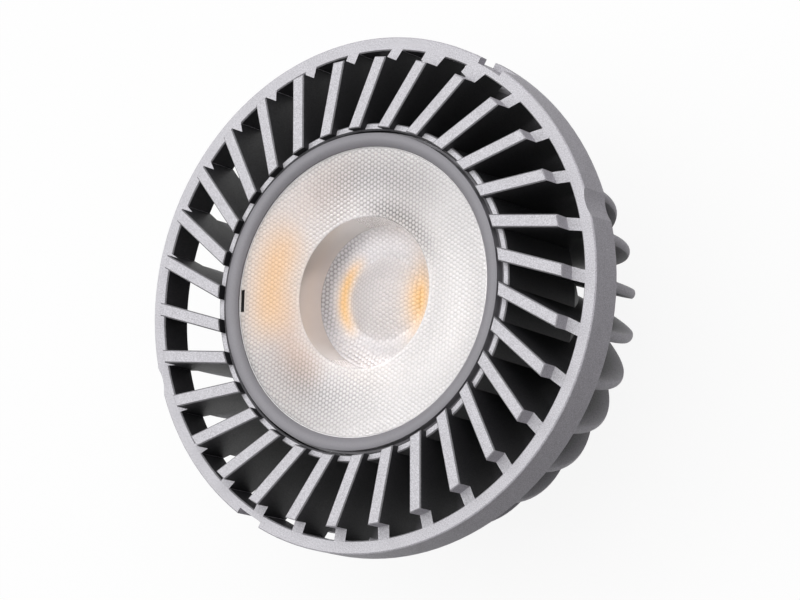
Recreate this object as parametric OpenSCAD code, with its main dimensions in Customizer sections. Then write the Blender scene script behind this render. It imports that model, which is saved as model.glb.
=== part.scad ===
// COB LED module: a die-cast finned heat sink in a 111 mm lamp ring, with a COB light
// source, a collimating lens and a snap-in bezel. Z = 0 is the flat back, +Z the light's way.

/* [Ring] */
// Outside diameter of the ring, the 111 mm reflector lamp standard
ring_od = 111; // [108:0.5:116]
// Width of the ring's front face
ring_w = 2.9; // [2.5:0.1:3.6]
// Depth of the ring along the axis
ring_h = 8.7; // [7.5:0.1:11]
// Chamfer on the ring's edges
ring_edge = 0.25; // [0.1:0.05:0.5]
// Height of the ring's front face above the flat back
ring_front = 54; // [51:0.5:57]

/* [Ring cut-outs] */
// Angle taken up by each bayonet notch
notch_angle = 6.7; // [5:0.1:9]
// How deep the bayonet cut-outs go into the ring
notch_depth = 1.4; // [1:0.1:1.8]
// Angle taken up by the locking lug beside each notch
lug_angle = 6.7; // [5:0.1:9]
// Thickness of the locking lug
lug_t = 2.5; // [1.8:0.1:3]
// Thickness of the shelf below each notch
shelf_t = 2.7; // [1.8:0.1:3]
// Width of each shallow dip in the ring's wall
dip_w = 6.8; // [5:0.1:9]
// Depth of each dip
dip_depth = 0.75; // [0.4:0.05:1.2]
// Clockwise angle from a notch to the next dip, seen from the front
dip_angle = 41.7; // [30:0.1:60]

/* [Fins] */
// Number of fins
fin_count = 30; // [24:1:32]
// Thickness of a fin at its front edge
fin_t = 2.75; // [2:0.05:3]
// Thickness of a fin at the flat back, thinner by the casting draft
fin_back_t = 1.4; // [1:0.05:2.2]
// Distance from the axis to a fin's mid-plane, which gives the swirl
fin_offset = 14.8; // [12:0.1:16]
// Clockwise angle from the first notch to the first fin's direction
fin_phase = 2.55; // [0:0.05:12]
// How far the fins stand proud of the ring's front face
fin_proud = 5.2; // [4:0.1:6]
// Chamfer on the front edges of the fins and of the cup's rim
fin_edge = 0.25; // [0.1:0.05:0.5]
// Chamfer of the fins' two ends, kept off the size of the chamfer above
end_edge = 0.2; // [0.1:0.05:0.4]
// Gap between the fins' front ends and the ring's inner wall
fin_setback = 2.35; // [1.5:0.05:3]
// Rise of the webs that join the fins to the ring, at the fin
web_rise = 1; // [0.5:0.1:2]
// Radius of the bowl that trims the fins behind the ring
bowl_r = 51.3; // [49:0.1:52]
// Depth of the bowl's centre below the ring's front face
bowl_drop = 10.5; // [9:0.1:13]
// Width of the casting-gate land beside each of the first two webs
gate_w = 2.2; // [1:0.1:3]
// Length of the gate lands, inward from the middle of the ring
gate_l = 3.3; // [2.6:0.1:4]
// Thickness of the gate lands
gate_t = 2.5; // [1.5:0.1:4]

/* [Cup] */
// Bore of the cup at its rim
cup_bore = 69.4; // [67:0.2:72]
// Wall of the cup
cup_wall = 1.6; // [1.2:0.1:2.4]
// Chamfer inside the rim of the cup
cup_edge = 0.4; // [0.2:0.05:0.8]
// How far the rim stands above the ring's front face
rim_proud = 2.9; // [2.4:0.1:3.4]
// How far the fins' inner ends stand outside the cup's bore
fin_lap = 0.35; // [0.2:0.05:0.8]
// Depth of the lens seat below the rim
seat_depth = 3.9; // [3.4:0.1:5]
// Width of the lens seat's step
seat_w = 2.1; // [1.6:0.1:2.6]
// Depth of the cup's floor below the rim
cup_depth = 27.4; // [26:0.2:29]
// Diameter of the core at the flat back
core_back_d = 42; // [38:0.5:46]

/* [Back] */
// Bore for the supply leads
lead_bore = 6; // [5:0.2:7]
// Distance of the lead bore from the axis
lead_r = 15.5; // [15:0.1:16.5]
// Diameter of the bushing's flange
bush_flange_d = 8.8; // [8:0.1:9.4]
// Thickness of the bushing's flange
bush_flange_t = 2; // [1.4:0.1:2.6]
// Length of the bushing's sleeve
bush_sleeve = 6; // [3:0.5:10]
// Bore of the bushing
bush_bore = 4; // [3:0.1:4.4]
// Tapping bore of the two mounting holes
mount_bore = 3.3; // [2.5:0.1:4.2]
// Spacing of the two mounting holes
mount_pitch = 28; // [22:0.5:32]
// Depth of the mounting holes
mount_depth = 12; // [8:0.5:16]

/* [Light source] */
// Side of the COB's square substrate
cob_side = 24; // [22:0.2:24.2]
// Thickness of the substrate
cob_t = 1.4; // [1:0.1:1.8]
// Diameter of the light-emitting face
les_d = 18; // [14:0.2:18.6]
// Height of the dam round the light-emitting face
dam_h = 0.8; // [0.5:0.1:1]
// Wall of the dam
dam_w = 0.8; // [0.5:0.1:1]
// Thickness of the phosphor layer
phosphor_h = 0.6; // [0.3:0.05:0.8]
// Side of a solder pad
solder_side = 3; // [2:0.1:3.4]
// Distance from a solder pad to the substrate's edge
solder_margin = 0.5; // [0.3:0.1:1]
// Thickness of a solder pad
solder_t = 0.1; // [0.05:0.05:0.2]
// Thickness of the thermal pad
thermal_t = 0.3; // [0.2:0.05:0.5]
// Diameter of the COB holder
holder_d = 51; // [50:0.2:54]
// Height of the COB holder above the thermal pad
holder_h = 4; // [3.6:0.1:4.6]
// Width of the holder's lead channel
channel_w = 7; // [6:0.1:8]
// Height of the holder's lead channel
channel_h = 2.2; // [1.6:0.1:2.4]
// Thickness of the spring contacts
contact_t = 0.4; // [0.2:0.05:0.6]
// Width of the spring contacts
contact_w = 2; // [1.4:0.1:2.4]
// Spacing of the holder's screws
screw_pitch = 42; // [41:0.2:43]
// Shank diameter of the holder's screws
screw_d = 3; // [2.5:0.1:3]
// Head diameter of the holder's screws
screw_head_d = 5.4; // [4.6:0.1:5.6]
// Head height of the holder's screws
screw_head_h = 1.9; // [1.4:0.1:2.2]
// Depth of the screws in the heat sink
screw_bite = 6; // [4:0.2:10]

/* [Lens] */
// Thickness of the lens's flange
lens_flange_t = 2.25; // [1.8:0.05:2.6]
// Base diameter of the lens's collimating cone
lens_base_d = 25.2; // [24:0.1:25.6]
// Outward bow of the cone, as a share of its rise in radius
lens_bow = 0.25; // [0:0.01:0.4]
// Air gap between the lens's base and the COB's dam
lens_air = 0.6; // [0.3:0.1:1]
// Width of the flat land under the bezel's lip
lens_land = 1.6; // [1.5:0.1:2]
// Dish of the lens's face, from the land to the mouth of the well
lens_dish = 0.85; // [0.4:0.05:1.2]
// Diameter of the well's mouth
well_d = 32.6; // [30:0.2:34]
// Diameter at the foot of the well's wall
well_foot_d = 31; // [28:0.2:31.4]
// Depth of the well at the foot of its wall
well_depth = 7.2; // [6:0.1:9]
// Diameter of the dome on the well's floor
dome_d = 18; // [14:0.2:20]
// Fall of the floor from the wall to the dome
floor_fall = 1.7; // [1:0.1:2.4]
// Height of the dome
dome_h = 2.4; // [1.6:0.1:3]
// Diameter of the input cavity over the COB
cavity_d = 21.2; // [20.2:0.1:22]
// Depth of the input cavity
cavity_h = 9; // [7:0.1:10]
// Bulge of the cavity's roof towards the COB
cavity_bulge = 2.4; // [1.6:0.1:3]
// Length of the locating slot in the lens's flange
slot_l = 4.8; // [3:0.1:6]
// Width of the locating slot
slot_w = 0.8; // [0.6:0.05:1]
// Clockwise angle from the first notch to the locating slot
slot_angle = 238.4; // [200:0.1:260]
// Wall of the lens holder
lens_holder_wall = 1.4; // [1:0.05:1.5]
// Depth of the slot's pocket in the lens holder
slot_pocket = 4; // [2:0.1:6]
// Thickness of the lens holder's flange
lens_holder_flange = 1.5; // [1:0.05:1.8]

/* [Bezel] */
// Gap between the bezel's face and the cup's bore
bezel_gap = 0.7; // [0.4:0.05:1]
// How far the bezel's lip reaches in over the lens's flange
bezel_lap = 1.4; // [1:0.1:1.5]
// Wall of the bezel's locating band
bezel_band_w = 1.6; // [1.4:0.1:2]
// Rise of the bezel's inner edge above the lens
bezel_lip = 0.45; // [0.3:0.05:0.8]
// Rise of the bezel's outer edge above its inner edge
bezel_slope = 0.7; // [0.3:0.05:1]
// Radius of the bezel's rounded face
bezel_crown = 2.2; // [1.9:0.05:4]
// Height of the bezel's locating band
bezel_band_h = 1.2; // [0.8:0.1:1.6]

/* [Fits] */
// Clearance of moulded pieces in the cup
fit = 0.25; // [0.15:0.05:0.3]
// Air gap round the lens's cone, in its holder and in the COB's
cone_gap = 0.4; // [0.2:0.05:0.6]
// Clearance of the screws and of the bushing in their bores
bore_fit = 0.1; // [0.05:0.05:0.2]

/* [Hidden] */
$fn = 96;
// Overlap of a cutter past the face that it opens
cut = 0.5;
// Overlap of the two bayonet cutters, in degrees
lap_angle = 0.1;
// Straight segments along the lens's bowed cone
cone_steps = 8;

ring_r = ring_od / 2;
ring_in_r = ring_r - ring_w;
ring_mid_r = ring_r - ring_w / 2;
ring_back = ring_front - ring_h;
fin_top = ring_front + fin_proud;
fin_end_r = ring_in_r - fin_setback;
fin_pitch = 360 / fin_count;
bowl_z = ring_front - bowl_drop;
cup_r = cup_bore / 2;
cup_out_r = cup_r + cup_wall;
rim_z = ring_front + rim_proud;
seat_z = rim_z - seat_depth;
shaft_r = cup_r - seat_w;
floor_z = rim_z - cup_depth;
core_back_r = core_back_d / 2;
// The fins start well inside the core
fin_start = core_back_r - fin_offset / 2;
bush_z = bush_flange_t + bore_fit;

cob_z = floor_z + thermal_t;
cob_top = cob_z + cob_t;
contact_z = cob_top + solder_t;
holder_top = cob_z + holder_h;
pad_at = cob_side / 2 - solder_side / 2 - solder_margin;
les_r = les_d / 2;
dam_r = les_r + dam_w;

holder_flange_r = cup_r - fit;
lens_base = cob_top + dam_h + lens_air;
lens_holder_top = seat_z + lens_holder_flange;
lens_top = lens_holder_top + lens_flange_t;
lens_r = holder_flange_r - bezel_band_w - fit;
cone_base_r = lens_base_d / 2;
cone_top_r = shaft_r - fit - lens_holder_wall - cone_gap;
land_r = lens_r - lens_land;
mouth_z = lens_top - lens_dish;
foot_z = mouth_z - well_depth;
dome_z = foot_z - floor_fall;
dome_r = dome_d / 2;
cavity_r = cavity_d / 2;
cavity_z = lens_base + cavity_h;
slot_r = land_r - slot_w / 2 - fit;

bezel_r = cup_r - bezel_gap;
bezel_in_r = lens_r - bezel_lap;
lip_z = lens_top + bezel_lip;
bezel_edge_z = lip_z + bezel_slope;

// Radius of a sphere or arc from half its chord and its height
function arc_r(half, h) = (half * half + h * h) / (2 * h);
// Radius of the lens's cone at a height
function cone_share(z) = (z - lens_base) / (lens_holder_top - lens_base);
function cone_r(z) = let (t = cone_share(z))
    cone_base_r + (cone_top_r - cone_base_r) * (t + lens_bow * t * (1 - t));
// Points along the cone from one height to another, moved out by a gap
function cone_points(z0, z1, gap) = [for (i = [0 : cone_steps])
    let (z = z0 + (z1 - z0) * i / cone_steps) [cone_r(z) + gap, z]];

// Turns children clockwise as seen from the front, from the +Y side
module clock(angle) {
    rotate([0, 0, -angle]) children();
}

// Both ends of the two-fold symmetric ring
module twice() {
    for (angle = [0, 180]) clock(angle) children();
}

// Cutter that takes the outside of the ring away over an angle, from clockwise start
module ring_cutter(start, angle, z0, z1) {
    clock(start + angle)
        rotate([0, 0, 90])
            rotate_extrude(angle = angle)
                translate([ring_r - notch_depth, z0])
                    square([notch_depth + cut, z1 - z0]);
}

// Front-open notch with a shelf behind it, and the rear-open pocket under its lug
module bayonet() {
    ring_cutter(-notch_angle / 2, notch_angle, ring_back + shelf_t, ring_front + cut);
    ring_cutter(-notch_angle / 2 - lug_angle, lug_angle + lap_angle, ring_back - cut, ring_front - lug_t);
}

// Shallow round dip down the ring's wall
module dip() {
    dip_r = arc_r(dip_w / 2, dip_depth);
    translate([0, ring_r - dip_depth + dip_r, ring_back - cut])
        cylinder(r = dip_r, h = ring_h + 2 * cut);
}

module ring() {
    difference() {
        rotate_extrude()
            polygon([[ring_in_r + ring_edge, ring_back], [ring_r - ring_edge, ring_back],
                     [ring_r, ring_back + ring_edge], [ring_r, ring_front - ring_edge],
                     [ring_r - ring_edge, ring_front], [ring_in_r + ring_edge, ring_front],
                     [ring_in_r, ring_front - ring_edge], [ring_in_r, ring_back + ring_edge]]);
        twice() bayonet();
        twice() clock(dip_angle) dip();
    }
}

// One straight fin, thinner to the back by its draft, off the axis by the swirl
module fin() {
    translate([-fin_offset, fin_start, 0])
        rotate([90, 0, 180])
            linear_extrude(ring_mid_r - fin_start)
                polygon([[-fin_back_t / 2, 0], [fin_back_t / 2, 0],
                         [fin_t / 2, fin_top - fin_edge], [fin_t / 2 - fin_edge, fin_top],
                         [fin_edge - fin_t / 2, fin_top], [-fin_t / 2, fin_top - fin_edge]]);
}

// The fin behind the ring, trimmed to the bowl by a disc with a round rim
module fin_back() {
    rim_r = fin_t / 2;
    disc_r = sqrt(bowl_r * bowl_r - fin_offset * fin_offset) - rim_r;
    intersection() {
        fin();
        translate([-fin_offset, 0, bowl_z])
            rotate([0, 90, 0])
                rotate_extrude() {
                    translate([0, -rim_r]) square([disc_r, 2 * rim_r]);
                    translate([disc_r, 0]) circle(r = rim_r);
                }
        cylinder(r = ring_r, h = ring_back + cut);
    }
}

// The turned outline that trims the fins inside and in front of the ring
module fin_envelope() {
    rotate_extrude()
        polygon([[0, ring_back], [ring_mid_r, ring_back], [ring_mid_r, ring_front - ring_edge],
                 [ring_in_r + ring_edge, ring_front], [fin_end_r, ring_front + web_rise],
                 [fin_end_r, fin_top - end_edge], [fin_end_r - end_edge, fin_top], [0, fin_top]]);
}

// Land left beside a web by the casting gate, flush with the ring
module gate_land() {
    gate_x = fin_offset + fin_t / 2 + gate_w;
    gate_y = sqrt(ring_mid_r * ring_mid_r - gate_x * gate_x);
    translate([-gate_x, gate_y - gate_l, ring_front - gate_t]) cube([gate_w + fin_t / 2, gate_l, gate_t]);
}

// Cup and core, as one turned solid
module core() {
    rotate_extrude()
        polygon([[0, 0], [core_back_r, 0], [cup_out_r, floor_z], [cup_out_r, rim_z - fin_edge],
                 [cup_out_r - fin_edge, rim_z], [0, rim_z]]);
}

// Stepped bore of the cup, its chamfer and the space inside the fins' proud ends
module cup_space() {
    rotate_extrude()
        polygon([[0, floor_z], [shaft_r, floor_z], [shaft_r, seat_z], [cup_r, seat_z],
                 [cup_r, rim_z - cup_edge], [cup_r + fin_lap, rim_z],
                 [cup_r + fin_lap, fin_top - end_edge],
                 [cup_r + fin_lap + end_edge + cut, fin_top + cut], [0, fin_top + cut]]);
}

// Lead bore with its counterbore, tapped mounting holes and the holder's screw holes
module core_holes() {
    clock(180) translate([0, lead_r, 0]) {
        translate([0, 0, -cut]) cylinder(d = lead_bore, h = floor_z + 2 * cut);
        translate([0, 0, -cut]) cylinder(d = bush_flange_d + 2 * bore_fit, h = bush_z + cut);
    }
    for (side = [-1, 1]) {
        translate([side * mount_pitch / 2, 0, -cut]) cylinder(d = mount_bore, h = mount_depth + cut);
        translate([side * screw_pitch / 2, 0, floor_z - screw_bite - cut])
            cylinder(d = screw_d + 2 * bore_fit, h = screw_bite + 2 * cut);
    }
}

module heat_sink() {
    color("silver")
        difference() {
            union() {
                core();
                ring();
                intersection() {
                    for (i = [0 : fin_count - 1]) clock(fin_phase + i * fin_pitch) fin();
                    fin_envelope();
                }
                for (i = [0 : fin_count - 1]) clock(fin_phase + i * fin_pitch) fin_back();
                for (i = [0, 1]) clock(fin_phase + i * fin_pitch) gate_land();
            }
            cup_space();
            core_holes();
        }
}

// Square plate on the axis
module plate(side, h) {
    translate([-side / 2, -side / 2, 0]) cube([side, side, h]);
}

module thermal_pad() {
    color("dimgray") translate([0, 0, floor_z]) plate(cob_side, thermal_t);
}

module cob_substrate() {
    color("whitesmoke") translate([0, 0, cob_z]) plate(cob_side, cob_t);
}

// Places children on the two soldered corners of the substrate
module at_pads() {
    for (side = [-1, 1]) translate([side * pad_at, side * pad_at, 0]) children();
}

module cob_pads() {
    color("gold") translate([0, 0, cob_top]) at_pads() plate(solder_side, solder_t);
}

module cob_dam() {
    color("white")
        translate([0, 0, cob_top])
            difference() {
                cylinder(r = dam_r, h = dam_h);
                translate([0, 0, -cut]) cylinder(r = les_r, h = dam_h + 2 * cut);
            }
}

module cob_phosphor() {
    color("orange") translate([0, 0, cob_top]) cylinder(r = les_r - bore_fit, h = phosphor_h);
}

// Places children on the holder's two screws
module at_screws() {
    for (side = [-1, 1]) translate([side * screw_pitch / 2, 0, 0]) children();
}

module cob_holder() {
    pocket = cob_side + 2 * fit;
    roof_z = cob_top + solder_t + contact_t + fit;
    bore_r = cone_r(holder_top) + cone_gap;
    color("white")
        difference() {
            translate([0, 0, floor_z]) cylinder(d = holder_d, h = holder_top - floor_z);
            translate([0, 0, floor_z - cut]) plate(pocket, cob_top - floor_z + cut);
            translate([0, 0, floor_z]) cylinder(r = bore_r, h = holder_h + thermal_t + cut);
            at_pads()
                translate([0, 0, cob_top - cut]) plate(solder_side + 2 * fit, roof_z - cob_top + cut);
            at_screws() translate([0, 0, floor_z - cut])
                cylinder(d = screw_d + 2 * bore_fit, h = holder_h + thermal_t + 2 * cut);
            clock(180) translate([-channel_w / 2, cob_side / 2, floor_z - cut])
                cube([channel_w, holder_d / 2, channel_h + cut]);
        }
}

module holder_contacts() {
    color("goldenrod")
        translate([0, 0, contact_z])
            at_pads() translate([-contact_w / 2, -solder_side / 2, 0])
                cube([contact_w, solder_side, contact_t]);
}

module holder_screws() {
    color("lightsteelblue")
        at_screws() {
            translate([0, 0, floor_z - screw_bite])
                cylinder(d = screw_d, h = screw_bite + holder_top - floor_z);
            translate([0, 0, holder_top]) cylinder(d = screw_head_d, h = screw_head_h);
        }
}

// Locating slot through the lens's flange and down into its holder
module slot(z0, z1) {
    clock(slot_angle)
        translate([-slot_l / 2, slot_r - slot_w / 2, z0])
            cube([slot_l, slot_w, z1 - z0]);
}

module lens_holder() {
    inner = cone_points(holder_top, lens_holder_top, cone_gap);
    outer = cone_points(holder_top, seat_z, cone_gap + lens_holder_wall);
    color("gainsboro")
        difference() {
            rotate_extrude()
                polygon(concat(outer, [[holder_flange_r, seat_z], [holder_flange_r, lens_holder_top]],
                               [for (i = [cone_steps : -1 : 0]) inner[i]]));
            slot(lens_holder_top - slot_pocket, lens_holder_top + cut);
        }
}

// Convex cap on the axis, as wide as its half chord, rising from z
module cap(half, h, z) {
    r = arc_r(half, h);
    intersection() {
        translate([0, 0, z + h - r]) sphere(r = r);
        translate([0, 0, z - cut]) cylinder(r = half, h = h + 2 * cut);
    }
}

module lens() {
    color([0.9, 0.93, 0.95, 0.6])
        difference() {
            union() {
                rotate_extrude()
                    polygon(concat(cone_points(lens_base, lens_holder_top, 0),
                                   [[lens_r, lens_holder_top], [lens_r, lens_top],
                                    [land_r, lens_top], [well_d / 2, mouth_z],
                                    [well_foot_d / 2, foot_z], [dome_r, dome_z], [0, dome_z],
                                    [0, cavity_z], [cavity_r, cavity_z], [cavity_r, lens_base]]));
                cap(dome_r, dome_h, dome_z);
                translate([0, 0, cavity_z]) mirror([0, 0, 1]) cap(cavity_r, cavity_bulge, 0);
            }
            slot(lens_holder_top - cut, lens_top + cut);
        }
}

// Section of the bezel: rounded face over the lens's edge, skirt and locating band
module bezel_section() {
    skirt_r = lens_r + fit;
    chord = norm([bezel_r - bezel_in_r, bezel_slope]);
    sink = sqrt(bezel_crown * bezel_crown - chord * chord / 4);
    mid = [(bezel_r + bezel_in_r) / 2, (lip_z + bezel_edge_z) / 2];
    centre = mid + sink / chord * [bezel_slope, bezel_in_r - bezel_r];
    intersection() {
        translate([bezel_in_r, lens_top])
            square([bezel_r - bezel_in_r, bezel_crown * 2]);
        translate(centre) circle(r = bezel_crown);
    }
    translate([skirt_r, lens_holder_top])
        square([bezel_r - skirt_r, bezel_edge_z - bezel_slope - lens_holder_top]);
    translate([skirt_r, lens_holder_top]) square([holder_flange_r - skirt_r, bezel_band_h]);
}

module bezel() {
    color("gray") rotate_extrude() bezel_section();
}

module lead_bushing() {
    bush_l = bush_flange_t + bush_sleeve;
    color([0.12, 0.12, 0.13])
        clock(180) translate([0, lead_r, bore_fit])
            difference() {
                union() {
                    cylinder(d = bush_flange_d, h = bush_flange_t);
                    cylinder(d = lead_bore - 2 * bore_fit, h = bush_l);
                }
                translate([0, 0, -cut]) cylinder(d = bush_bore, h = bush_l + 2 * cut);
            }
}

heat_sink();
thermal_pad();
cob_substrate();
cob_pads();
cob_dam();
cob_phosphor();
cob_holder();
holder_contacts();
holder_screws();
lens_holder();
lens();
bezel();
lead_bushing();
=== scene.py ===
"""Looks of a round COB LED spotlight module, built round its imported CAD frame.

Blender works in metres. The sizes named below are millimetres, unless their heading says otherwise, in
the part's own frame: Z = 0 is the flat back, +Z the way the light leaves, +Y towards the first bayonet
notch. A clock angle is in degrees, clockwise from +Y as seen from the front.
"""
import math
from collections import namedtuple

import bmesh
import bpy
from mathutils import Matrix, Vector, geometry

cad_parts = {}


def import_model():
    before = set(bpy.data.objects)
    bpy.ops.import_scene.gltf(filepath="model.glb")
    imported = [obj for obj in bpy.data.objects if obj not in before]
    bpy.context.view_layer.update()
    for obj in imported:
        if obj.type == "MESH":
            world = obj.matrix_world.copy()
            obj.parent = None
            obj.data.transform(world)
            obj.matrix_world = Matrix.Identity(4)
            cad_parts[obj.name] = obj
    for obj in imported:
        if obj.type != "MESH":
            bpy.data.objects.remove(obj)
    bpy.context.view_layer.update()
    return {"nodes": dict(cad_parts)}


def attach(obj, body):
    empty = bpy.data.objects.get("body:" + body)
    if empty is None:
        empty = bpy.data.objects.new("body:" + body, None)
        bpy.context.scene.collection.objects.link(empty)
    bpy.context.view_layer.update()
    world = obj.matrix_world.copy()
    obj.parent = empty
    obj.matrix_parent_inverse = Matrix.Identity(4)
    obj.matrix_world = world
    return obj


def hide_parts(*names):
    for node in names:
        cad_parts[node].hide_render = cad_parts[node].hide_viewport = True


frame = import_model()

MM = 0.001

# A stretch of a circle round the axis: its radius and width, the clock angle of its middle, the degrees
# from there to its ends, and the most that it reaches
Arc = namedtuple("Arc", "radius width clock spread most")

# An oval on the lens: its centre, the direction of its length, and its reach along and across
Oval = namedtuple("Oval", "centre along long short")

# Camera of the photograph, fitted to the ring, the fins and the lens, with its clips in metres
CAMERA_AT = Vector((519.67, 131.62, 848.48)) * MM
CAMERA_RIGHT = Vector((0.70613, 0.46833, -0.5311))
CAMERA_UP = Vector((-0.46187, 0.87319, 0.1558))
CAMERA_LENS = 203.52
CAMERA_SENSOR = 36.0
CAMERA_NEAR = 0.01
CAMERA_FAR = 50.0

# Floor and light of the stage, in metres
FLOOR_HALF = 4.0
FLOOR_Z = -0.0003
FLOOR_WHITE_SHARE = 0.91
FLOOR_SHOWN_TONE = 0.85
FLOOR_BOUNCE_TONE = 0.32
AMBIENT = 0.09
KEY_AT = Vector((-0.2, 0.25, 1.42))
KEY_AIM = Vector((0.0, 0.0, 0.05))
KEY_WIDE = 3.2
KEY_HIGH = 1.8
KEY_RADIANCE = 2.52

# Sizes of the casting that the painted shade on its coat follows
FIN_TOP = 59.2
RING_BACK_Z = 45.3
RING_INNER_R = 52.6
BOWL_R = 51.3
BOWL_Z = 43.5
CUP_R = 34.0
CUP_FLOOR_Z = 29.0

# Painted shade between the fins: depths over which the coat's colour fades into painted shade, with the
# depth of painted shade under the ring
SHADE_DEPTH_BEHIND = 2.2
SHADE_DEPTH_FRONT = 4.0
RING_SHADE_DEPTH = 4.0
RING_MARGIN = 0.1

# Painted shade: shares of the coat's colour that still show near the front, and on walls turned to the
# axis
COAT_SHOWN_NEAR_FRONT = 0.06
COAT_SHOWN_ON_INWARD = 0.06

# Cosines between which a wall comes to count as turned to the axis, away from it, or to the front
TURNED_INWARD = (-0.7, -0.2)
TURNED_OUTWARD = (0.55, 0.8)
TURNED_FRONT = (0.55, 0.95)

# Grain and colours of the silver coat; the darkest colour is painted shade deep between the fins, and the
# front colour is painted light, a little lighter than the sides
COAT_GRAIN = 0.27
COAT_GRAIN_SWING = 0.32
COAT_MOTTLE = 4.0
COAT_MOTTLE_SWING = 0.03
COAT_RELIEF = 0.06
COAT_ROUGHNESS = (0.62, 0.42)
POCKET_PAINTED_SHADE = (0.014, 0.014, 0.016, 1)
COATED_SIDE = (0.500, 0.482, 0.526, 1)
COAT_PAINTED_LIT_FRONT = (0.548, 0.538, 0.570, 1)

# Satin grey of the bezel
BEZEL_GREY = (0.212, 0.205, 0.223)
BEZEL_GRAIN = 0.3
BEZEL_GRAIN_SWING = 0.05
BEZEL_DRIFT = 9.0
BEZEL_DRIFT_SWING = 0.03
BEZEL_RELIEF = 0.012
BEZEL_ROUGHNESS = (0.44, 0.56)

# Section of the lens
LENS_BASE_Z = 32.6
LENS_BASE_R = 12.6
CONE_TOP_R = 30.55
CONE_BOW = 0.25
CONE_STEPS = 24
FLANGE_Z = 54.5
FLANGE_R = 32.6
LENS_TOP_Z = 56.75
LAND_R = 31.0
MOUTH_R = 16.3
MOUTH_Z = 55.9
FOOT_R = 15.5
FOOT_Z = 48.7
DOME_R = 9.0
DOME_Z = 47.0
DOME_H = 2.4
CAVITY_R = 10.6
CAVITY_Z = 41.6
CAVITY_BULGE = 2.4
CAVITY_STEPS = 10
TURN_STEPS = 192

# Slot in the lens's face
SLOT_L = 4.8
SLOT_W = 0.8
SLOT_R = 30.35
SLOT_CLOCK = 238.4
SLOT_FLOOR_Z = 54.6

# Pebbles on the lens's face: a hexagonal array of small domes, in rows along X
PEBBLE_SIDES = 6
PEBBLE_PITCH = 0.96
PEBBLE_ROW = PEBBLE_PITCH * math.sqrt(3) / 2
PEBBLE_CORNER = PEBBLE_PITCH / math.sqrt(3)
PEBBLE_H = 0.19
PEBBLE_MARGIN = 0.12
HALFWAY_SHARE = 0.75
MID_EDGE_SHARE = 0.25

# Decimals of a millimetre to which two vertices of the lens are one
SAME_XY = 4
SAME_Z = 3

# How the border of a pebbled face is triangulated: over its whole hull, merging points this close
WHOLE_HULL = 0
MERGE_WITHIN = 1e-6

# Material slots of the lens piece
FACE, WELL, WALL, SIDE, RIM, SLOT = range(6)

# Acrylic and its pebbles: painted shade in the valleys, and how much a stretch of painted shade darkens
# tops and valleys
ACRYLIC_IOR = 1.49
VALLEY_START = 0.3
VALLEY_PAINTED_SHADE = 0.82
VALLEY_SHADE_SPREAD = (0.4, 1.6)
POLISH_DRIFT = 14.0
POLISH_ROUGHNESS = (0.07, 0.11)

# Pebbled ring of the lens's face: a painted warm cast, arcs of painted shade and a painted pink and orange
# glow of the phosphor, with its clearness in clear and in hazy places
FACE_COOL = (1.0, 0.972, 0.98, 1)
FACE_PAINTED_WARM = (1.0, 0.95, 0.945, 1)
FACE_WARM_CLOCK = 250
FACE_WARM_REACH = 20.0
FACE_PAINTED_SHADE_ARCS = (
    Arc(radius=24.5, width=5.5, clock=332, spread=48, most=0.34),
    Arc(radius=17.6, width=2.6, clock=2, spread=46, most=0.45),
    Arc(radius=21.5, width=5.0, clock=168, spread=42, most=0.22),
    Arc(radius=26.0, width=5.0, clock=188, spread=40, most=0.18),
    Arc(radius=30.4, width=1.5, clock=208, spread=60, most=0.12),
)
FACE_PAINTED_PINK = (1.0, 0.77, 0.65, 1)
FACE_PAINTED_PINK_ARCS = (
    Arc(radius=20.5, width=4.5, clock=212, spread=42, most=0.9),
    Arc(radius=24.0, width=6.0, clock=285, spread=45, most=0.35),
)
FACE_PAINTED_GLOW = (1.0, 0.65, 0.38, 1)
FACE_PAINTED_GLOW_ARC = Arc(radius=23.4, width=5.8, clock=248, spread=38, most=1.0)
FACE_GLOW_HAZE = 0.75
FACE_HAZE_ARC = Arc(radius=24.0, width=9.0, clock=95, spread=100, most=0.6)
FACE_CLEARNESS = (0.46, 0.2)

# Pebbled floor of the lens's well, with an arc of painted shade near the wall and a painted orange glow of
# the phosphor
WELL_SHADED = (0.985, 0.94, 0.96, 1)
WELL_BRIGHT = (1.0, 0.965, 0.985, 1)
WELL_DRIFT = 8.0
WELL_PAINTED_SHADE_ARC = Arc(radius=14.4, width=1.6, clock=258, spread=62, most=0.4)
WELL_PAINTED_GLOW = (1.0, 0.61, 0.26, 1)
WELL_PAINTED_GLOW_ARC = Arc(radius=10.4, width=1.6, clock=244, spread=62, most=1.0)
WELL_PAINTED_GLOW_OVAL = Oval(centre=(7.6, 4.2), along=(0.46, -0.89), long=7.5, short=3.2)
WELL_HAZE_ARCS = (
    Arc(radius=12.0, width=3.4, clock=330, spread=65, most=0.8),
    Arc(radius=9.6, width=3.0, clock=140, spread=70, most=0.5),
)
WELL_CLEARNESS = (0.6, 0.15)

# Smooth wall of the lens's well, with a painted warm shade on the side where the phosphor shows
WALL_CLEAR = (0.99, 0.94, 0.91, 1)
WALL_PAINTED_SHADE_LOW = (0.58, 0.495, 0.45, 1)
WALL_PAINTED_SHADE_HIGH = (0.64, 0.555, 0.51, 1)
WALL_DRIFT = 6.0
WALL_HAZE_ARC = Arc(radius=16.0, width=4.0, clock=235, spread=72, most=1.0)
WALL_CLEARNESS = (0.7, 0.45)
WALL_ROUGHNESS = (0.04, 0.1)

# Polished sides and frosted flange of the lens
SIDE_LOW = (0.98, 0.98, 0.98, 1)
SIDE_HIGH = (1.0, 1.0, 1.0, 1)
SIDE_DRIFT = 8.0
SIDE_ROUGHNESS = (0.02, 0.05)
RIM_LOW = (0.90, 0.89, 0.89, 1)
RIM_HIGH = (0.96, 0.95, 0.95, 1)
RIM_GRAIN = 0.3
RIM_ROUGHNESS = (0.4, 0.55)

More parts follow.
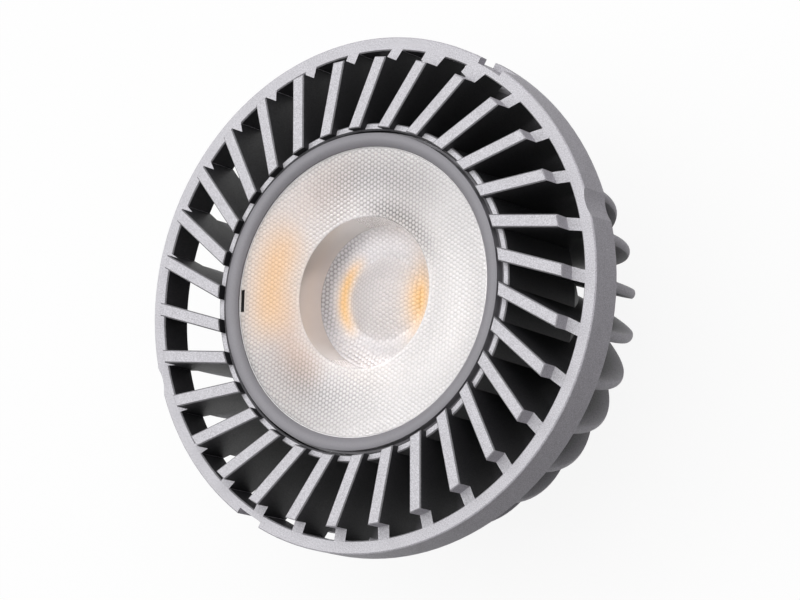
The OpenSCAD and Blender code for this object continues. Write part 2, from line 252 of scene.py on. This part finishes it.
# Range that most values of a noise lie in, and the swing of a plain finish's roughness
NOISE_LOW = 0.3
NOISE_HIGH = 0.7
ROUGHNESS_SWING = 0.06


def clock_dir(angle):
    """Unit vector at a clock angle."""
    a = math.radians(angle)
    return Vector((math.sin(a), math.cos(a)))


# Nodes

class Nodes:
    """A node tree and short ways to add nodes to it."""

    def __init__(self, tree):
        self.tree = tree

    def add(self, kind, inputs=None, **settings):
        made = self.tree.nodes.new(kind)
        for key, value in settings.items():
            setattr(made, key, value)
        for key, value in (inputs or {}).items():
            self.feed(made.inputs[key], value)
        return made

    def feed(self, socket, value):
        """Links a node's output to a socket, or sets the socket to a constant."""
        if isinstance(value, bpy.types.NodeSocket):
            self.tree.links.new(value, socket)
        else:
            socket.default_value = value

    def math(self, operation, a, b):
        return self.add("ShaderNodeMath", {0: a, 1: b}, operation=operation).outputs[0]

    def exponent(self, a):
        return self.add("ShaderNodeMath", {0: a}, operation="EXPONENT").outputs[0]

    def total(self, shares):
        """Sum of several shares, held to 1."""
        out = shares[0]
        for share in shares[1:]:
            out = self.math("ADD", out, share)
        return self.math("MINIMUM", out, 1.0)

    def bell(self, squared):
        """1 at no distance, falling off smoothly with the square of a distance."""
        return self.exponent(self.math("MULTIPLY", squared, -1.0))

    def vector(self, operation, a, b):
        return self.add("ShaderNodeVectorMath", {0: a, 1: b}, operation=operation).outputs["Vector"]

    def dot(self, a, b):
        made = self.add("ShaderNodeVectorMath", {0: a, 1: b}, operation="DOT_PRODUCT")
        return made.outputs["Value"]

    def length(self, a):
        return self.add("ShaderNodeVectorMath", {0: a}, operation="LENGTH").outputs["Value"]

    def unit(self, a):
        return self.add("ShaderNodeVectorMath", {0: a}, operation="NORMALIZE").outputs["Vector"]

    def scale(self, colour, value):
        made = self.add("ShaderNodeVectorMath", {0: colour, "Scale": value}, operation="SCALE")
        return made.outputs["Vector"]

    def z(self, vector):
        return self.add("ShaderNodeSeparateXYZ", {0: vector}).outputs["Z"]

    def remap(self, value, low, high, to_low=0.0, to_high=1.0, smooth=False):
        kind = "SMOOTHSTEP" if smooth else "LINEAR"
        made = self.add("ShaderNodeMapRange", {0: value, 1: low, 2: high, 3: to_low, 4: to_high},
                        interpolation_type=kind)
        return made.outputs[0]

    def mix(self, share, a, b):
        """Mixes two colours, which are inputs 6 and 7 and output 2 of the node."""
        return self.add("ShaderNodeMix", {0: share, 6: a, 7: b}, data_type="RGBA").outputs[2]

    def shown(self):
        """1 for rays that show the background: from the camera, off gloss or through glass."""
        path = self.add("ShaderNodeLightPath")
        share = self.math("MAXIMUM", path.outputs["Is Camera Ray"], path.outputs["Is Glossy Ray"])
        return self.math("MAXIMUM", share, path.outputs["Is Transmission Ray"])


class Paint(Nodes):
    """A material of one Principled shader, varied by place on the part."""

    def __init__(self, name, **constants):
        self.material = bpy.data.materials.new(name)
        self.material.use_nodes = True
        super().__init__(self.material.node_tree)
        self.shader = self.tree.nodes["Principled BSDF"]
        for socket, value in constants.items():
            self.set(socket.replace("_", " "), value)
        self.place = self.add("ShaderNodeTexCoord").outputs["Object"]

    def set(self, socket, value):
        self.feed(self.shader.inputs[socket], value)

    def flat(self):
        """Place on the part without its height."""
        return self.vector("MULTIPLY", self.place, (1, 1, 0))

    def normal(self):
        return self.add("ShaderNodeNewGeometry").outputs["Normal"]

    def noise(self, size_mm, detail=2.0, roughness=0.5):
        """Noise of a given grain size, from 0 to 1."""
        made = self.add("ShaderNodeTexNoise", {"Vector": self.place, "Scale": 1 / (size_mm * MM),
                                               "Detail": detail, "Roughness": roughness})
        return made.outputs[0]

    def vary(self, noise, low, high):
        """Spreads a noise from one value to another."""
        return self.remap(noise, NOISE_LOW, NOISE_HIGH, low, high)

    def swing(self, noise, share):
        """Spreads a noise round 1, up and down by a share."""
        return self.vary(noise, 1 - share, 1 + share)

    def bump(self, height, depth_mm, strength=0.5):
        made = self.add("ShaderNodeBump", {"Height": height, "Distance": depth_mm * MM,
                                           "Strength": strength})
        self.set("Normal", made.outputs[0])

    def thin_out(self, depth, over_mm):
        """1 at the surface, thinning out with depth."""
        return self.exponent(self.math("DIVIDE", depth, -over_mm * MM))

    def oval(self, oval):
        """1 at the centre of an oval, falling off round it."""
        along = Vector((*oval.along, 0)).normalized()
        across = Vector((-along.y, along.x, 0))
        away = self.vector("SUBTRACT", self.place, Vector((*oval.centre, 0)) * MM)
        u = self.dot(away, along / (oval.long * MM))
        v = self.dot(away, across / (oval.short * MM))
        return self.bell(self.math("ADD", self.math("MULTIPLY", u, u), self.math("MULTIPLY", v, v)))

    def arc(self, arc):
        """Highest in the middle of an arc, falling off across it and to its ends."""
        flat = self.flat()
        off = self.math("SUBTRACT", self.length(flat), arc.radius * MM)
        off = self.math("DIVIDE", off, arc.width * MM)
        ring = self.bell(self.math("MULTIPLY", off, off))
        facing = self.dot(self.unit(flat), (*clock_dir(arc.clock), 0))
        ends = self.remap(facing, math.cos(math.radians(arc.spread)), 1.0, 0.0, arc.most, smooth=True)
        return self.math("MULTIPLY", ring, ends)


# Materials

def coat_unshaded_share(p):
    """Share where the silver coat's own colour shows; the rest is painted shade, deep between the fins,
    under the ring and on walls turned to the axis.
    """
    z = p.z(p.place)
    flat = p.flat()
    r = p.length(flat)
    facing = p.dot(p.normal(), p.unit(flat))
    on_wall = p.remap(facing, *TURNED_INWARD, COAT_SHOWN_ON_INWARD, 1.0)
    fin_end = p.remap(facing, *TURNED_OUTWARD)
    clear_of_ring = p.remap(z, RING_BACK_Z * MM, (RING_BACK_Z - RING_SHADE_DEPTH) * MM, smooth=True)
    from_centre = p.length(p.vector("SUBTRACT", p.place, (0, 0, BOWL_Z * MM)))
    in_bowl = p.math("MINIMUM", p.math("SUBTRACT", BOWL_R * MM, from_centre), z)
    behind = p.thin_out(p.math("MAXIMUM", in_bowl, 0.0), SHADE_DEPTH_BEHIND)
    behind = p.math("MULTIPLY", behind, p.math("MAXIMUM", clear_of_ring, fin_end))
    front = p.thin_out(p.math("SUBTRACT", FIN_TOP * MM, z), SHADE_DEPTH_FRONT)
    front = p.math("MULTIPLY", front, COAT_SHOWN_NEAR_FRONT)
    on_ring = p.math("GREATER_THAN", r, (RING_INNER_R - RING_MARGIN) * MM)
    unshaded = p.math("MAXIMUM", p.math("MAXIMUM", behind, front), on_ring)
    in_cup = p.math("MULTIPLY", p.math("LESS_THAN", r, CUP_R * MM),
                    p.math("GREATER_THAN", z, CUP_FLOOR_Z * MM))
    return p.math("MAXIMUM", p.math("MULTIPLY", unshaded, on_wall), in_cup)


def silver_coat_and_shade():
    """Fine-grained silver coat, with painted shade deep between the fins and a front painted a little
    lighter.
    """
    p = Paint("silver_coat_and_shade", Specular_IOR_Level=0.2)
    # Painted shade: the coat darkens to near black deep between the fins, under the ring and on walls
    # turned to the axis
    side = p.mix(coat_unshaded_share(p), POCKET_PAINTED_SHADE, COATED_SIDE)
    # Painted light: faces turned to the front are a little lighter than the sides
    front = p.remap(p.z(p.normal()), *TURNED_FRONT, smooth=True)
    colour = p.mix(front, side, COAT_PAINTED_LIT_FRONT)
    grain = p.noise(COAT_GRAIN, detail=3.0, roughness=0.7)
    mottle = p.noise(COAT_MOTTLE, detail=3.0)
    level = p.math("MULTIPLY", p.swing(grain, COAT_GRAIN_SWING), p.swing(mottle, COAT_MOTTLE_SWING))
    p.set("Base Color", p.scale(colour, level))
    p.set("Roughness", p.vary(grain, *COAT_ROUGHNESS))
    p.bump(grain, COAT_RELIEF)
    return p.material


def satin_grey():
    """Moulded grey bezel with a satin grain."""
    p = Paint("satin_grey")
    grain = p.noise(BEZEL_GRAIN)
    drift = p.noise(BEZEL_DRIFT)
    level = p.math("MULTIPLY", p.swing(grain, BEZEL_GRAIN_SWING), p.swing(drift, BEZEL_DRIFT_SWING))
    p.set("Base Color", p.scale(BEZEL_GREY, level))
    p.set("Roughness", p.vary(grain, *BEZEL_ROUGHNESS))
    p.bump(grain, BEZEL_RELIEF, strength=0.4)
    return p.material


def pebble_painted_shade_and_polish(p, colour, dark):
    """Paints shade in the valleys between the pebbles and over the stretches of painted shade, and varies
    their polish.
    """
    valley = p.add("ShaderNodeAttribute", attribute_name="valley").outputs["Fac"]
    # Painted shade, deepest in the valleys between the pebbles
    shade = p.math("MULTIPLY", dark, p.remap(valley, 0.0, 1.0, *VALLEY_SHADE_SPREAD))
    tone = p.remap(valley, VALLEY_START, 1.0, 1.0, VALLEY_PAINTED_SHADE)
    level = p.math("MULTIPLY", tone, p.math("SUBTRACT", 1.0, shade))
    p.set("Base Color", p.scale(colour, level))
    p.set("Roughness", p.vary(p.noise(POLISH_DRIFT), *POLISH_ROUGHNESS))
    return p.material


def lens_ring():
    """Pebbled ring of clear acrylic, with a painted warm cast, painted shade and a painted pink and orange
    glow of the phosphor, hazy where the glow is.
    """
    p = Paint("lens_ring", IOR=ACRYLIC_IOR)
    # Painted warm cast, stronger towards the side where the phosphor shows
    towards = p.dot(p.place, (*clock_dir(FACE_WARM_CLOCK), 0))
    painted_warmth = p.remap(towards, -FACE_WARM_REACH * MM, FACE_WARM_REACH * MM)
    clear = p.mix(painted_warmth, FACE_COOL, FACE_PAINTED_WARM)
    # Arcs of painted shade, and a painted pink and orange glow of the phosphor
    dark = p.total([p.arc(arc) for arc in FACE_PAINTED_SHADE_ARCS])
    painted_pink = p.total([p.arc(arc) for arc in FACE_PAINTED_PINK_ARCS])
    glow = p.arc(FACE_PAINTED_GLOW_ARC)
    haze = p.total([p.math("MULTIPLY", glow, FACE_GLOW_HAZE), p.arc(FACE_HAZE_ARC)])
    p.set("Transmission Weight", p.remap(haze, 0.0, 1.0, *FACE_CLEARNESS))
    colour = p.mix(painted_pink, clear, FACE_PAINTED_PINK)
    return pebble_painted_shade_and_polish(p, p.mix(glow, colour, FACE_PAINTED_GLOW), dark)


def lens_floor():
    """Pebbled floor of the well and its dome, with painted shade near the foot of the wall and a painted
    glow of the phosphor at two hazy edges.
    """
    p = Paint("lens_floor", IOR=ACRYLIC_IOR)
    clear = p.mix(p.noise(WELL_DRIFT), WELL_SHADED, WELL_BRIGHT)
    # Painted shade near the foot of the wall, and a painted glow of the phosphor
    dark = p.arc(WELL_PAINTED_SHADE_ARC)
    glow = p.total([p.arc(WELL_PAINTED_GLOW_ARC), p.oval(WELL_PAINTED_GLOW_OVAL)])
    haze = p.total([glow] + [p.arc(arc) for arc in WELL_HAZE_ARCS])
    p.set("Transmission Weight", p.remap(haze, 0.0, 1.0, *WELL_CLEARNESS))
    return pebble_painted_shade_and_polish(p, p.mix(glow, clear, WELL_PAINTED_GLOW), dark)


def lens_wall():
    """Smooth wall of the lens's well, with a painted warm shade, and hazy, on the side where the phosphor
    shows.
    """
    p = Paint("lens_wall", IOR=ACRYLIC_IOR)
    drift = p.noise(WALL_DRIFT, detail=3.0)
    # Painted warm shade on the side where the phosphor shows
    painted_tint = p.mix(drift, WALL_PAINTED_SHADE_LOW, WALL_PAINTED_SHADE_HIGH)
    haze = p.arc(WALL_HAZE_ARC)
    p.set("Base Color", p.mix(haze, WALL_CLEAR, painted_tint))
    p.set("Transmission Weight", p.remap(haze, 0.0, 1.0, *WALL_CLEARNESS))
    p.set("Roughness", p.vary(drift, *WALL_ROUGHNESS))
    return p.material


def lens_side():
    """Polished cone and cavity of the lens."""
    p = Paint("lens_side", IOR=ACRYLIC_IOR, Transmission_Weight=1.0)
    drift = p.noise(SIDE_DRIFT)
    p.set("Base Color", p.mix(drift, SIDE_LOW, SIDE_HIGH))
    p.set("Roughness", p.vary(drift, *SIDE_ROUGHNESS))
    return p.material


def lens_rim():
    """Frosted flange of the lens."""
    p = Paint("lens_rim", IOR=ACRYLIC_IOR, Transmission_Weight=0.25)
    grain = p.noise(RIM_GRAIN)
    p.set("Base Color", p.mix(grain, RIM_LOW, RIM_HIGH))
    p.set("Roughness", p.vary(grain, *RIM_ROUGHNESS))
    return p.material


def plain(name, colour, spread, grain_mm, roughness, bump_mm, **constants):
    """A moulded, cast or plated finish: colour varied by its grain, with a little relief."""
    p = Paint(name, **constants)
    grain = p.noise(grain_mm, detail=3.0)
    p.set("Base Color", p.scale(colour, p.swing(grain, spread)))
    p.set("Roughness", p.vary(grain, roughness - ROUGHNESS_SWING, roughness + ROUGHNESS_SWING))
    p.bump(grain, bump_mm)
    return p.material


def slot_shade():
    """Dark walls and floor of the slot in the lens's face."""
    return plain("slot_shade", (0.06, 0.056, 0.056),
                 spread=0.2, grain_mm=0.3, roughness=0.6, bump_mm=0.01)


def dress(nodes):
    """Gives every CAD node but the lens its material."""
    gold = plain("gold_plate", (0.72, 0.49, 0.16),
                 spread=0.07, grain_mm=0.15, roughness=0.3, bump_mm=0.005, Metallic=1.0)
    looks = {
        "heat_sink": silver_coat_and_shade(),
        "bezel": satin_grey(),
        "lead_bushing": plain("black_rubber", (0.022, 0.022, 0.024),
                              spread=0.2, grain_mm=0.25, roughness=0.6, bump_mm=0.02),
        "lens_holder": plain("metallised", (0.97, 0.96, 0.965),
                             spread=0.02, grain_mm=0.5, roughness=0.22, bump_mm=0.004, Metallic=1.0),
        "cob_holder": plain("holder_white", (0.90, 0.89, 0.88),
                            spread=0.04, grain_mm=0.5, roughness=0.45, bump_mm=0.02),
        "thermal_pad": plain("thermal_pad", (0.16, 0.16, 0.18),
                             spread=0.1, grain_mm=0.2, roughness=0.7, bump_mm=0.02),
        "cob_substrate": plain("ceramic", (0.87, 0.87, 0.85),
                               spread=0.03, grain_mm=0.2, roughness=0.5, bump_mm=0.008),
        "cob_pads": gold,
        "holder_contacts": gold,
        "cob_dam": plain("silicone_dam", (0.88, 0.88, 0.86),
                         spread=0.03, grain_mm=0.4, roughness=0.4, bump_mm=0.01),
        "cob_phosphor": plain("phosphor", (0.97, 0.88, 0.76),
                              spread=0.1, grain_mm=0.12, roughness=0.3, bump_mm=0.01),
        "holder_screws": plain("zinc_plate", (0.58, 0.59, 0.61),
                               spread=0.08, grain_mm=0.2, roughness=0.32, bump_mm=0.006, Metallic=1.0),
    }
    for name, material in looks.items():
        nodes[name].data.materials.clear()
        nodes[name].data.materials.append(material)


# Lens

def cap_height(r, half, height):
    """Height above its rim of a spherical cap, at radius r."""
    ball = (half * half + height * height) / (2 * height)
    return math.sqrt(max(ball * ball - r * r, 0)) - (ball - height)


def face_z(r):
    """Height of the lens's face, under its pebbles."""
    return MOUTH_Z + (r - MOUTH_R) / (LAND_R - MOUTH_R) * (LENS_TOP_Z - MOUTH_Z)


def well_z(r):
    """Height of the well's floor and its dome, under their pebbles."""
    if r <= DOME_R:
        return DOME_Z + cap_height(r, DOME_R, DOME_H)
    return DOME_Z + (r - DOME_R) / (FOOT_R - DOME_R) * (FOOT_Z - DOME_Z)


def cone_r(z):
    """Radius of the bowed cone at a height."""
    t = (z - LENS_BASE_Z) / (FLANGE_Z - LENS_BASE_Z)
    return LENS_BASE_R + (CONE_TOP_R - LENS_BASE_R) * (t + CONE_BOW * t * (1 - t))


def circle(r):
    """Points of a circle round the axis."""
    angles = [2 * math.pi * i / TURN_STEPS for i in range(TURN_STEPS)]
    return [Vector((r * math.cos(a), r * math.sin(a))) for a in angles]


def around(count):
    """Each index of a closed loop with the next one."""
    return [(i, (i + 1) % count) for i in range(count)]


class Skin:
    """Collects the vertices, faces, sharp edges and valley values of a mesh, in millimetres."""

    def __init__(self):
        self.at = {}
        self.points = []
        self.valley = []
        self.faces = []
        self.kinds = []
        self.sharp = set()

    def vertex(self, x, y, z, valley=0.0):
        """Index of the vertex at a place, which is made where there is none yet."""
        key = (round(x, SAME_XY), round(y, SAME_XY), round(z, SAME_Z))
        if key not in self.at:
            self.at[key] = len(self.points)
            self.points.append((x * MM, y * MM, z * MM))
            self.valley.append(valley)
        return self.at[key]

    def face(self, corners, kind):
        """Adds a face, unless two of its corners are one vertex."""
        if len(set(corners)) == len(corners):
            self.faces.append(corners)
            self.kinds.append(kind)

    def crease(self, a, b):
        self.sharp.add((min(a, b), max(a, b)))

    def turn(self, section, kind, creases):
        """Turns a section of (r, z) points round the axis; creases are indices of its sharp corners."""
        rows = [[self.vertex(p.x, p.y, z) for p in circle(r)] for r, z in section]
        for low, high in zip(rows, rows[1:]):
            for i, j in around(TURN_STEPS):
                corners = dict.fromkeys((low[i], low[j], high[j], high[i]))
                self.face(list(corners), kind)
        for k in creases:
            for i, j in around(TURN_STEPS):
                self.crease(rows[k][i], rows[k][j])

    def build(self, name, materials):
        """Makes the object, with one material for each kind of face."""
        mesh = bpy.data.meshes.new(name)
        mesh.from_pydata(self.points, [], self.faces)
        for material in materials:
            mesh.materials.append(material)
        for polygon, kind in zip(mesh.polygons, self.kinds):
            polygon.material_index = kind
            polygon.use_smooth = True
        for edge in mesh.edges:
            a, b = edge.vertices
            edge.use_edge_sharp = (min(a, b), max(a, b)) in self.sharp
        layer = mesh.attributes.new("valley", "FLOAT", "POINT")
        layer.data.foreach_set("value", self.valley)
        made = bpy.data.objects.new(name, mesh)
        bpy.context.scene.collection.objects.link(made)
        return made


def slot_axes():
    """Directions across and along the slot."""
    return clock_dir(SLOT_CLOCK), clock_dir(SLOT_CLOCK + 90)


def slot_corners():
    across, along = slot_axes()
    return [across * (SLOT_R + SLOT_W / 2 * a) + along * (SLOT_L / 2 * b)
            for a, b in ((-1, -1), (1, -1), (1, 1), (-1, 1))]


def in_slot(p, margin):
    across, along = slot_axes()
    beside = abs(p.dot(across) - SLOT_R)
    return beside < SLOT_W / 2 + margin and abs(p.dot(along)) < SLOT_L / 2 + margin


def row_shift(row):
    """Every second row of pebbles is moved on by half a pebble."""
    return 0.5 * (row % 2)


def cell_centre(row, column):
    return Vector(((column + row_shift(row)) * PEBBLE_PITCH, row * PEBBLE_ROW))


def nearest_cell(p):
    """Row and column of the pebble that holds a point."""
    below = math.floor(p.y / PEBBLE_ROW)
    tries = [(row, round(p.x / PEBBLE_PITCH - row_shift(row))) for row in (below, below + 1)]
    return min(tries, key=lambda cell: (cell_centre(*cell) - p).length)


def cell_points(row, column):
    """Points of a pebble with their shares of its height: its centre, then six points half-way out,
    six corners and six mid-edges."""
    centre = cell_centre(row, column)
    angles = [2 * math.pi * k / PEBBLE_SIDES for k in range(PEBBLE_SIDES)]
    steps = [Vector((math.sin(a), math.cos(a))) * PEBBLE_CORNER for a in angles]
    corners = [centre + step for step in steps]
    points = [(centre, 1.0)]
    points += [(centre + step / 2, HALFWAY_SHARE) for step in steps]
    points += [(corner, 0.0) for corner in corners]
    points += [((corners[k] + corners[n]) / 2, MID_EDGE_SHARE) for k, n in around(PEBBLE_SIDES)]
    return points


def add_pebble(skin, ids, kind):
    """Faces of a whole pebble from its vertices, in the order of cell_points, creased at its outline."""
    top = ids[0]
    halves, corners, edges = (ids[1 + PEBBLE_SIDES * i:][:PEBBLE_SIDES] for i in range(3))
    for k, n in around(PEBBLE_SIDES):
        skin.face((top, halves[n], halves[k]), kind)
        skin.face((halves[k], edges[k], corners[k]), kind)
        skin.face((halves[k], halves[n], edges[k]), kind)
        skin.face((halves[n], corners[n], edges[k]), kind)
        skin.crease(corners[k], edges[k])
        skin.crease(edges[k], corners[n])


def border_triangles(low, high, slotted, loose):
    """Triangles between a face's rims and the loose points of cut pebbles, each as three points with
    their shares of a pebble's height."""
    rims = [circle(r) for r in (low, high) if r > 0]
    if slotted:
        rims.append(slot_corners())
    points = []
    edges = []
    for rim in rims:
        first = len(points)
        points += rim
        edges += [(first + i, first + j) for i, j in around(len(rim))]
    shares = [0.0] * len(points) + [share for _, share in loose]
    points += [p for p, _ in loose]
    found = geometry.delaunay_2d_cdt(points, edges, [], WHOLE_HULL, MERGE_WITHIN)
    where, _, triangles, origins = found[:4]
    share_of = [max((shares[i] for i in ids), default=0.0) for ids in origins]
    return [[(where[i], share_of[i]) for i in triangle] for triangle in triangles]


def pebbled(skin, low, high, height, slotted, kind):
    """Covers the face between two radii with pebbles standing on the height function."""
    def inside(p, margin):
        in_rims = (low == 0 or p.length > low + margin) and p.length < high - margin
        return in_rims and not (slotted and in_slot(p, margin))

    def put(p, share):
        return skin.vertex(p.x, p.y, height(p.length) + PEBBLE_H * share, 1 - share)

    rows = math.ceil(high / PEBBLE_ROW) + 1
    columns = math.ceil(high / PEBBLE_PITCH) + 1
    whole = set()
    loose = {}
    for row in range(-rows, rows + 1):
        for column in range(-columns, columns + 1):
            points = cell_points(row, column)
            held = [(p, share) for p, share in points if inside(p, PEBBLE_MARGIN)]
            if len(held) == len(points):
                whole.add((row, column))
                add_pebble(skin, [put(p, share) for p, share in points], kind)
                continue
            for p, share in held:
                loose[(round(p.x, SAME_XY), round(p.y, SAME_XY))] = (p, share)
    for triangle in border_triangles(low, high, slotted, list(loose.values())):
        middle = sum((p for p, _ in triangle), Vector((0, 0))) / len(triangle)
        if inside(middle, 0.0) and nearest_cell(middle) not in whole:
            skin.face([put(p, share) for p, share in triangle], kind)


def lens_body(skin):
    """Wall of the well, flange, cone and cavity, turned round the axis."""
    skin.turn([(FOOT_R, FOOT_Z), (MOUTH_R, MOUTH_Z)], WALL, creases=(0, 1))
    flange = [(LAND_R, LENS_TOP_Z), (FLANGE_R, LENS_TOP_Z)]
    flange += [(FLANGE_R, FLANGE_Z), (cone_r(FLANGE_Z), FLANGE_Z)]
    skin.turn(flange, RIM, creases=(0, 1, 2, 3))
    heights = [LENS_BASE_Z + (FLANGE_Z - LENS_BASE_Z) * i / CONE_STEPS for i in range(CONE_STEPS, -1, -1)]
    cone = [(cone_r(z), z) for z in heights]
    cavity = [(CAVITY_R, LENS_BASE_Z), (CAVITY_R, CAVITY_Z)]
    radii = [CAVITY_R * i / CAVITY_STEPS for i in range(CAVITY_STEPS - 1, -1, -1)]
    roof = [(r, CAVITY_Z - cap_height(r, CAVITY_R, CAVITY_BULGE)) for r in radii]
    skin.turn(cone + cavity + roof, SIDE, creases=(CONE_STEPS, CONE_STEPS + 1, CONE_STEPS + 2))


def lens_slot(skin):
    """Walls and floor of the slot in the lens's face."""
    top = [skin.vertex(p.x, p.y, face_z(p.length)) for p in slot_corners()]
    foot = [skin.vertex(p.x, p.y, SLOT_FLOOR_Z) for p in slot_corners()]
    for i, j in around(len(top)):
        skin.face([top[j], top[i], foot[i], foot[j]], SLOT)
        skin.crease(top[i], top[j])
        skin.crease(foot[i], foot[j])
        skin.crease(top[i], foot[i])
    skin.face(foot, SLOT)


def turn_outward(mesh):
    """Makes every face of a closed mesh look outward."""
    work = bmesh.new()
    work.from_mesh(mesh)
    bmesh.ops.recalc_face_normals(work, faces=work.faces)
    work.to_mesh(mesh)
    work.free()


def lens():
    """Lens with the solid's section, and pebbles on its face and on the floor of its well."""
    skin = Skin()
    pebbled(skin, MOUTH_R, LAND_R, face_z, True, FACE)
    pebbled(skin, 0, FOOT_R, well_z, False, WELL)
    lens_body(skin)
    lens_slot(skin)
    materials = [lens_ring(), lens_floor(), lens_wall(), lens_side(), lens_rim(), slot_shade()]
    made = skin.build("pebbled_lens", materials)
    turn_outward(made.data)
    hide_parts("lens")
    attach(made, "root")


# Stage

def camera():
    """Camera at the photograph's place and angle."""
    data = bpy.data.cameras.new("photo_camera")
    data.sensor_fit = "HORIZONTAL"
    data.sensor_width = CAMERA_SENSOR
    data.lens = CAMERA_LENS
    data.clip_start = CAMERA_NEAR
    data.clip_end = CAMERA_FAR
    made = bpy.data.objects.new("photo_camera", data)
    right = CAMERA_RIGHT.normalized()
    back = right.cross(CAMERA_UP).normalized()
    up = back.cross(right)
    turn = Matrix((right, up, back)).transposed().to_4x4()
    made.matrix_world = Matrix.Translation(CAMERA_AT) @ turn
    bpy.context.scene.collection.objects.link(made)
    bpy.context.scene.camera = made


def world():
    """White where it shows, and a dim even light otherwise."""
    made = bpy.data.worlds.new("studio")
    bpy.context.scene.world = made
    made.use_nodes = True
    nodes = Nodes(made.node_tree)
    back = nodes.tree.nodes["Background"]
    nodes.feed(back.inputs["Color"], (1, 1, 1, 1))
    nodes.feed(back.inputs["Strength"], nodes.remap(nodes.shown(), 0.0, 1.0, AMBIENT, 1.0))


def pale_floor():
    """Mostly white glow where it shows, with a matt share that takes the shadow and throws light back."""
    material = bpy.data.materials.new("pale_floor")
    material.use_nodes = True
    nodes = Nodes(material.node_tree)
    nodes.tree.nodes.clear()
    shown = nodes.shown()
    tone = nodes.remap(shown, 0.0, 1.0, FLOOR_BOUNCE_TONE, FLOOR_SHOWN_TONE)
    matt = nodes.add("ShaderNodeBsdfDiffuse", {"Color": tone})
    glow = nodes.add("ShaderNodeEmission")
    share = nodes.math("MULTIPLY", shown, FLOOR_WHITE_SHARE)
    blend = nodes.add("ShaderNodeMixShader", {0: share, 1: matt.outputs[0], 2: glow.outputs[0]})
    nodes.add("ShaderNodeOutputMaterial", {"Surface": blend.outputs[0]})
    return material


def floor():
    """Pale floor just under the flat back."""
    mesh = bpy.data.meshes.new("floor")
    signs = ((-1, -1), (1, -1), (1, 1), (-1, 1))
    mesh.from_pydata([(FLOOR_HALF * x, FLOOR_HALF * y, FLOOR_Z) for x, y in signs], [], [(0, 1, 2, 3)])
    mesh.materials.append(pale_floor())
    made = bpy.data.objects.new("floor", mesh)
    bpy.context.scene.collection.objects.link(made)


def key_light():
    """Oval soft light that faces the object."""
    lamp = bpy.data.lights.new("key", "AREA")
    lamp.shape = "ELLIPSE"
    lamp.size = KEY_WIDE
    lamp.size_y = KEY_HIGH
    area = math.pi * KEY_WIDE * KEY_HIGH / 4
    lamp.energy = math.pi * KEY_RADIANCE * area
    made = bpy.data.objects.new("key", lamp)
    made.location = KEY_AT
    made.rotation_mode = "QUATERNION"
    made.rotation_quaternion = (KEY_AIM - KEY_AT).to_track_quat("-Z", "Y")
    made.visible_camera = False
    bpy.context.scene.collection.objects.link(made)


bpy.context.scene.view_settings.view_transform = "Standard"
camera()
world()
floor()
key_light()
dress(frame["nodes"])
lens()
